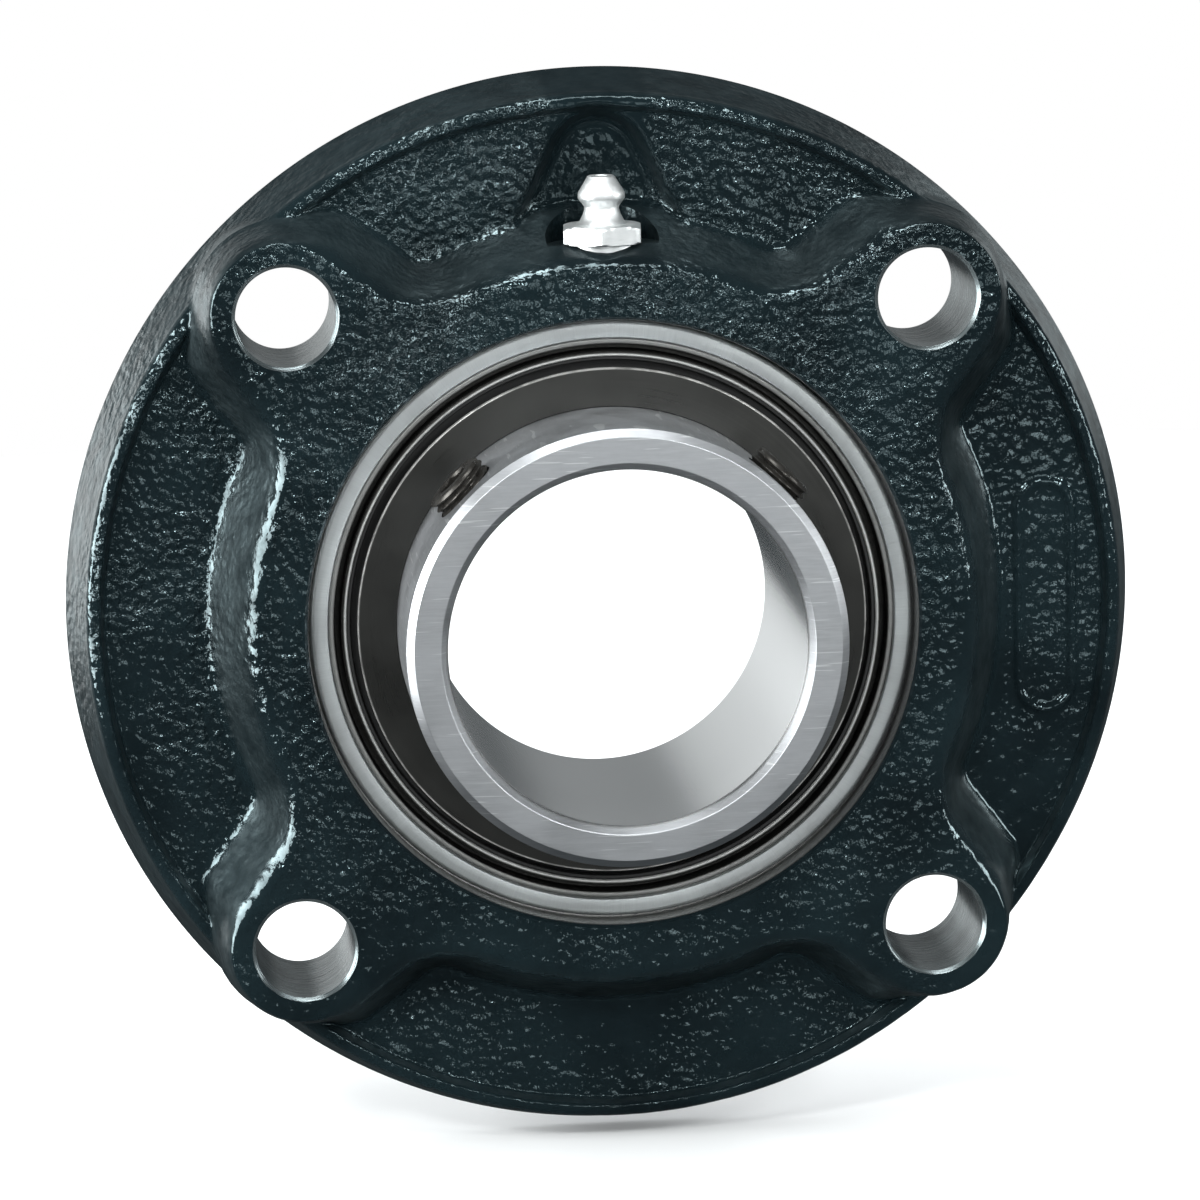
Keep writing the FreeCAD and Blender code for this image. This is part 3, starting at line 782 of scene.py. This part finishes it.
def outer_ring():
    """Spherical outside, two seal seats and the ball groove between their shoulders."""
    seat_w = 6.6
    face_r = math.sqrt(SPHERE_R ** 2 - RING_HALF ** 2)
    race_centre = PITCH_R + BALL_R + RACE_PLAY - RACE_R
    half = math.sqrt(RACE_R ** 2 - (SHOULDER_R - race_centre) ** 2)
    front = [(SHELL_R, seat_w), (SHELL_R, RING_HALF - 0.25), (SHELL_R + 0.25, RING_HALF),
             (face_r - 0.5, RING_HALF), (face_r - 0.15, RING_HALF - 0.12)]
    outside = []
    for step in range(33):
        w = (RING_HALF - 0.5) * (1 - 2 * step / 32)
        outside.append((math.sqrt(SPHERE_R ** 2 - w * w), w))
    rear = mirrored(front)
    race = arc_points(race_centre, RACE_R, half, 1)
    outline = front + outside + rear + [(SHOULDER_R, -seat_w)] + race[::-1] + [(SHOULDER_R, seat_w)]
    return turned("outer_ring_ground", outline, RING_STEEL, base=BALL_Z, columns=320)


def inner_ring():
    """Wide ring with chamfered ends and the ball groove, before its tapped holes."""
    bevel, bore_bevel, bore_depth = 1.1, 1.05, 1.6
    race_centre = PITCH_R - BALL_R - RACE_PLAY + RACE_R
    half = math.sqrt(RACE_R ** 2 - (race_centre - INNER_R) ** 2)
    race = [(a, b + BALL_Z) for a, b in arc_points(race_centre, RACE_R, half, -1)]
    low, high = INNER_BACK, INNER_FRONT
    bore = BORE_R + 0.004
    outer = rounded([(bore + bore_bevel, high), (INNER_R - bevel, high), (INNER_R, high - bevel),
                     (INNER_R, low + bevel), (INNER_R - bevel, low), (bore + bore_bevel, low),
                     (bore, low + bore_depth), (bore, high - bore_depth)], 0.22, 3)
    split = max(k for k, p in enumerate(outer) if p[0] > INNER_R - 0.01 and p[1] > BALL_Z)
    outline = outer[:split + 1] + race + outer[split + 1:]
    return turned("inner_ring_turned", outline, INNER_STEEL, columns=320)


def screw_axis(name):
    """Point on the shaft axis and direction of a set screw."""
    low, high = box_mm(name)
    middle = (low + high) / 2
    return Vector((0, middle.y, 0)), Vector((middle.x, 0, middle.z)).normalized()


ring = outer_ring()
weighted(ring)
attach(ring, "outer_ring")
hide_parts("outer_ring")


def tapped_hole(name):
    """Cutter for a set screw's hole with its countersink."""
    hole_r, sunk_r = THREAD_R + 0.08, THREAD_R + 0.75
    line = [(0, 20), (hole_r, 20), (hole_r, INNER_R - 0.35), (sunk_r, INNER_R + 0.3), (sunk_r, 36), (0, 36)]
    return turned("hole", line, SCREW, axis_matrix(*screw_axis(name)), 72)


screw_names = ("set_screw_left", "set_screw_right")
inner = cut(inner_ring(), joined("cutters", [tapped_hole(name) for name in screw_names]))
weighted(inner)
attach(inner, "inner_ring")
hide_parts("inner_ring")


def thread_wave(r, h, turn):
    """Radius change that winds the thread round a set screw's side, fading out at both ends."""
    rise = (h - SCREW_TIP_R) / THREAD_PITCH - turn / (2 * math.pi)
    wave = np.clip(np.abs((rise % 1.0) * 2 - 1) * 1.25 - 0.12, 0, 1)
    end = SCREW_TIP_R + SCREW_LENGTH
    inside = ease((h - SCREW_TIP_R - 0.9) / 0.7) * ease((end - 0.35 - h) / 0.6)
    return np.where(r > THREAD_R - 0.05, -THREAD_DEPTH * wave * inside, 0)


def set_screw(name):
    """Cup-point set screw with a real thread and a hexagon socket."""
    place = axis_matrix(*screw_axis(name))
    end = SCREW_TIP_R + SCREW_LENGTH
    rows = 74
    outline = [(0, 0.9), (1.6, 0.85), (2.55, 0.1), (2.7, 0.0), (3.0, 0.0), (3.2, 0.12), (THREAD_R - 0.1, 1.4)]
    outline += [(THREAD_R, 1.5 + (SCREW_LENGTH - 2.1) * k / rows) for k in range(rows + 1)]
    outline += [(THREAD_R - 0.25, SCREW_LENGTH - 0.3), (THREAD_R - 0.55, SCREW_LENGTH - 0.06),
                (THREAD_R - 0.75, SCREW_LENGTH), (3.2, SCREW_LENGTH), (0, SCREW_LENGTH)]
    screw = turned(name + "_threaded", [(r, h + SCREW_TIP_R) for r, h in outline], SCREW, place, 84,
                   radius_change=thread_wave)
    corner = KEY_ACROSS / math.sqrt(3)
    hexagon = [(corner * math.cos(math.radians(60 * k)), corner * math.sin(math.radians(60 * k)))
               for k in range(6)]
    socket = prism("socket", hexagon, end - 4.0, end + 1, place, SCREW)
    lead_line = [(0, end - 0.35), (corner - 0.3, end - 0.35), (corner + 0.5, end + 0.45), (0, end + 0.45)]
    screw = cut(cut(screw, socket), turned("lead", lead_line, SCREW, place, 48))
    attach(screw, name)
    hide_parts(name)


for name in screw_names:
    set_screw(name)

flinger_outline = rounded([(31.34, 7.2), (32.5, 7.2), (32.5, 10.6), (FLINGER_R, 10.6),
                           (FLINGER_R, FLINGER_TOP), (31.34, FLINGER_TOP)],
                          [0.1, 0.1, 0.5, 0.25, 0.3, 0.15])
shell_outline = rounded([(38.52, 6.62), (SHELL_R - 0.02, 6.62), (SHELL_R - 0.02, 10.2), (40.9, 10.45),
                         (40.3, 10.4), (40.3, 7.5), (39.3, 7.5), (39.3, 10.3), (39.1, 10.5),
                         (38.7, 10.5), (38.52, 10.3)],
                        [0.1, 0.3, 0.2, 0.2, 0.2, 0.3, 0.3, 0.1, 0.1, 0.1, 0.1])
lip_outline = rounded([(32.56, 7.4), (37.4, 7.4), (37.6, 6.7), (38.5, 6.7), (38.5, 9.9), (38.0, 9.9),
                       (37.9, 8.0), (32.56, 8.0)], [0.05, 0.2, 0.2, 0.1, 0.1, 0.15, 0.3, 0.1])
for side, place in (("front", lambda o: o), ("rear", mirrored)):
    for part, outline, material, body, slot in (
            ("flinger", flinger_outline, OXIDE, "inner_ring", "black_oxide"),
            ("seal_shell", shell_outline, SHELL, "outer_ring", "black_shell"),
            ("seal_lip", lip_outline, RUBBER, "outer_ring", "seal_rubber")):
        piece = turned(side + "_" + part + "_formed", place(outline), material, base=BALL_Z)
        weighted(piece)
        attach(piece, body)
        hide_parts(side + "_" + part)


# ---------------------------------------------------------------- grease nipple
def nipple():
    """Plated nipple: shank, cone head and a thin hexagon with chamfered corners."""
    place = axis_matrix((0, -NIPPLE_Z, NIPPLE_BASE), (0, 0, 1))
    outline = [(0, -6.4), (4.6, -6.4), (4.95, -6.0), (4.95, 0.4), (3.4, 0.4), (3.4, 2.6),
               (3.9, 2.72), (3.2, 3.3), (2.75, 4.2), (2.5, 5.0), (2.52, 5.35), (2.8, 5.8),
               (3.34, 6.45), (3.38, 6.6), (3.38, 7.2), (3.34, 7.4), (2.15, 9.35), (1.95, 9.7), (1.75, 9.8),
               (1.25, 9.8), (1.15, 9.7), (1.15, 9.0), (1.6, 8.4), (1.6, 1.8), (0, 1.8)]
    stem = turned("stem", outline, ZINC, place, 96)
    across, high, turn, columns = 11.1, 2.9, math.radians(10), 96
    flat = np.linspace(0, 2 * math.pi, columns, endpoint=False) + math.pi / columns
    apothem = across / 2 / np.cos((flat - turn + math.pi / 6) % (math.pi / 3) - math.pi / 6)
    hexagon = np.minimum(apothem, across / math.sqrt(3) - 0.06)
    middle = 0 * flat + 3.2

    def trimmed(extra):
        """The hexagon within a circle that stands out from its flats by extra."""
        return np.minimum(hexagon, across / 2 + extra)

    levels = [(middle, 0.0), (trimmed(0.05) - 0.1, 0.0), (trimmed(0.35), 0.12), (hexagon, 0.35),
              (hexagon, high - 0.7), (trimmed(0.5), high - 0.42), (trimmed(0.1), high - 0.18),
              (trimmed(0.05) - 0.35, high - 0.03), (trimmed(0.05) - 0.6, high), (middle, high)]
    rows = [np.stack([r * np.cos(flat), r * np.sin(flat), h + 0 * flat], -1) for r, h in levels]
    verts = np.array(rows).reshape(-1, 3)
    matrix = np.array(place)
    verts = (verts @ matrix[:3, :3].T + matrix[:3, 3]) * MM
    nut = outward(new_object("nut", verts.tolist(), grid_faces(len(rows), columns, True), [ZINC]))
    body = joined("grease_nipple_plated", [stem, nut])
    body.data.polygons.foreach_set("use_smooth", [True] * len(body.data.polygons))
    body.data.set_sharp_from_angle(angle=math.radians(28))
    return body


fitting = nipple()
weighted(fitting)
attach(fitting, "root")
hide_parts("grease_nipple_body")


def nipple_spring():
    """Coil spring under the check ball, as a tube along a helix."""
    wire_r, coil_r, turns, steps, sides = 0.18, 1.15, 6, 180, 12
    verts = []
    for k in range(steps + 1):
        turn = 2 * math.pi * turns * k / steps
        height = COIL_LOW + wire_r + (COIL_HIGH - COIL_LOW - 2 * wire_r) * k / steps
        for j in range(sides):
            around = 2 * math.pi * j / sides
            r = coil_r + wire_r * math.cos(around)
            verts.append((r * math.cos(turn) * MM, (r * math.sin(turn) - NIPPLE_Z) * MM,
                          (height + wire_r * math.sin(around)) * MM))
    faces = grid_faces(steps + 1, sides)
    faces += [tuple(range(sides)), tuple(steps * sides + j for j in reversed(range(sides)))]
    return outward(new_object("grease_nipple_coil", verts, faces, [SPRING_STEEL]))


coil = nipple_spring()
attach(coil, "root")
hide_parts("grease_nipple_spring")
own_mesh(coil)

# ---------------------------------------------------------------- pieces kept from the frame
kept = {"grease_nipple_ball": BALL_STEEL, "grease_nipple_spring_seat": ZINC, "locking_pin": SPRING_STEEL,
        "cage_front_half": CAGE_STEEL, "cage_rear_half": CAGE_STEEL, "cage_rivets": CAGE_STEEL}
kept.update({node: BALL_STEEL for node in frame["nodes"] if node.startswith("ball_")})
for node, material in kept.items():
    frame["nodes"][node].data.materials.clear()
    frame["nodes"][node].data.materials.append(material)

# ---------------------------------------------------------------- studio
scene = bpy.context.scene
scene.view_settings.view_transform = "Standard"


def pale_floor():
    """Plain matt floor with a trace of unevenness."""
    n = Nodes("pale_floor")
    return n.set(Base_Color=n.mix(n.noise(6), (0.86, 0.86, 0.86), (0.90, 0.90, 0.90)), Roughness=0.9)


FLOOR_R = 0.75
FLOOR_SIDES = 96
floor_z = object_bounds()[0].z - 0.001
around = np.linspace(0, 2 * math.pi, FLOOR_SIDES, endpoint=False)
rim = [(FLOOR_R * math.cos(t), FLOOR_R * math.sin(t), floor_z) for t in around]
floor = new_object("floor", rim, [tuple(range(FLOOR_SIDES))], [pale_floor()])
floor.visible_glossy = False


def studio_world():
    """White surroundings for the view and for soft light, dim ones for reflections."""
    world = bpy.data.worlds.new("studio")
    world.use_nodes = True
    tree = world.node_tree
    path = tree.nodes.new("ShaderNodeLightPath")
    shade = tree.nodes.new("ShaderNodeRGB").outputs[0]
    shade.default_value = (0.052, 0.060, 0.064, 1)
    for ray, colour in (("Is Diffuse Ray", (0.95, 0.98, 1.0)), ("Is Camera Ray", (1.0, 1.0, 1.0))):
        mix = tree.nodes.new("ShaderNodeMix")
        mix.data_type = "RGBA"
        tree.links.new(path.outputs[ray], mix.inputs[0])
        tree.links.new(shade, mix.inputs[6])
        mix.inputs[7].default_value = (*colour, 1)
        shade = mix.outputs[2]
    tree.links.new(shade, tree.nodes["Background"].inputs["Color"])
    return world


scene.world = studio_world()
middle = Vector((0, -0.0118, 0))


def towards(azimuth, elevation):
    """Unit vector; azimuth 0 is in front, 90 to the right, 180 behind."""
    a, e = math.radians(azimuth), math.radians(elevation)
    return Vector((math.sin(a) * math.cos(e), -math.cos(a) * math.cos(e), math.sin(e)))


def softbox(name, azimuth, elevation, distance, width, height, radiance):
    """Area light that faces the part."""
    away = towards(azimuth, elevation)
    data = bpy.data.lights.new(name, "AREA")
    data.shape = "RECTANGLE"
    data.size, data.size_y = width, height
    data.energy = radiance * width * height * math.pi
    data.color = (0.97, 1.0, 1.0)
    obj = bpy.data.objects.new(name, data)
    obj.location = middle + away * distance
    obj.rotation_mode = "QUATERNION"
    obj.rotation_quaternion = away.to_track_quat("Z", "Y")
    obj.visible_camera = False
    scene.collection.objects.link(obj)


# The walls, rim and bore are lit from the sides and behind, the pebbles and crests by small bright boxes.
softbox("left_wall", -78, 6, 1.1, 0.6, 0.8, 14.0)
softbox("left_behind", -146, 0, 1.2, 0.3, 0.4, 3.2)
softbox("left_top", -26, 30, 1.2, 0.15, 0.15, 75.0)
softbox("front", 14, 18, 1.2, 0.6, 0.24, 3.0)
softbox("overhead", -12, 74, 1.1, 0.7, 0.16, 18.0)
softbox("right_top", 34, 28, 1.2, 0.15, 0.15, 60.0)
softbox("right_front", 12, 6, 1.2, 0.28, 0.30, 4.6)
softbox("right_wall", 74, 12, 1.2, 0.22, 0.5, 13.0)
softbox("behind", -158, 4, 1.6, 1.0, 0.9, 0.75)
softbox("behind_low", 172, 12, 1.6, 0.7, 0.5, 0.3)
softbox("back_right", 135, 14, 1.6, 0.7, 0.7, 1.4)

# ---------------------------------------------------------------- camera
CAMERA_AT = (-5.30, 9.84)
CAMERA_DISTANCE = 0.7741
CAMERA_LOOK = (-5.22, 9.71)
CAMERA_ROLL = -1.25
CAMERA_LENS = 158.772

back = towards(*CAMERA_LOOK)
right = Vector((0, 0, 1)).cross(back).normalized()
up = back.cross(right)
roll = math.radians(CAMERA_ROLL)
camera_x = right * math.cos(roll) + up * math.sin(roll)
camera_y = up * math.cos(roll) - right * math.sin(roll)
camera_data = bpy.data.cameras.new("camera")
camera_data.sensor_width = 36.0
camera_data.lens = CAMERA_LENS
camera_data.clip_start, camera_data.clip_end = 0.05, 50
camera = bpy.data.objects.new("camera", camera_data)
pose = Matrix((camera_x, camera_y, back)).transposed().to_4x4()
pose.translation = middle + towards(*CAMERA_AT) * CAMERA_DISTANCE
camera.matrix_world = pose
scene.collection.objects.link(camera)
scene.camera = camera
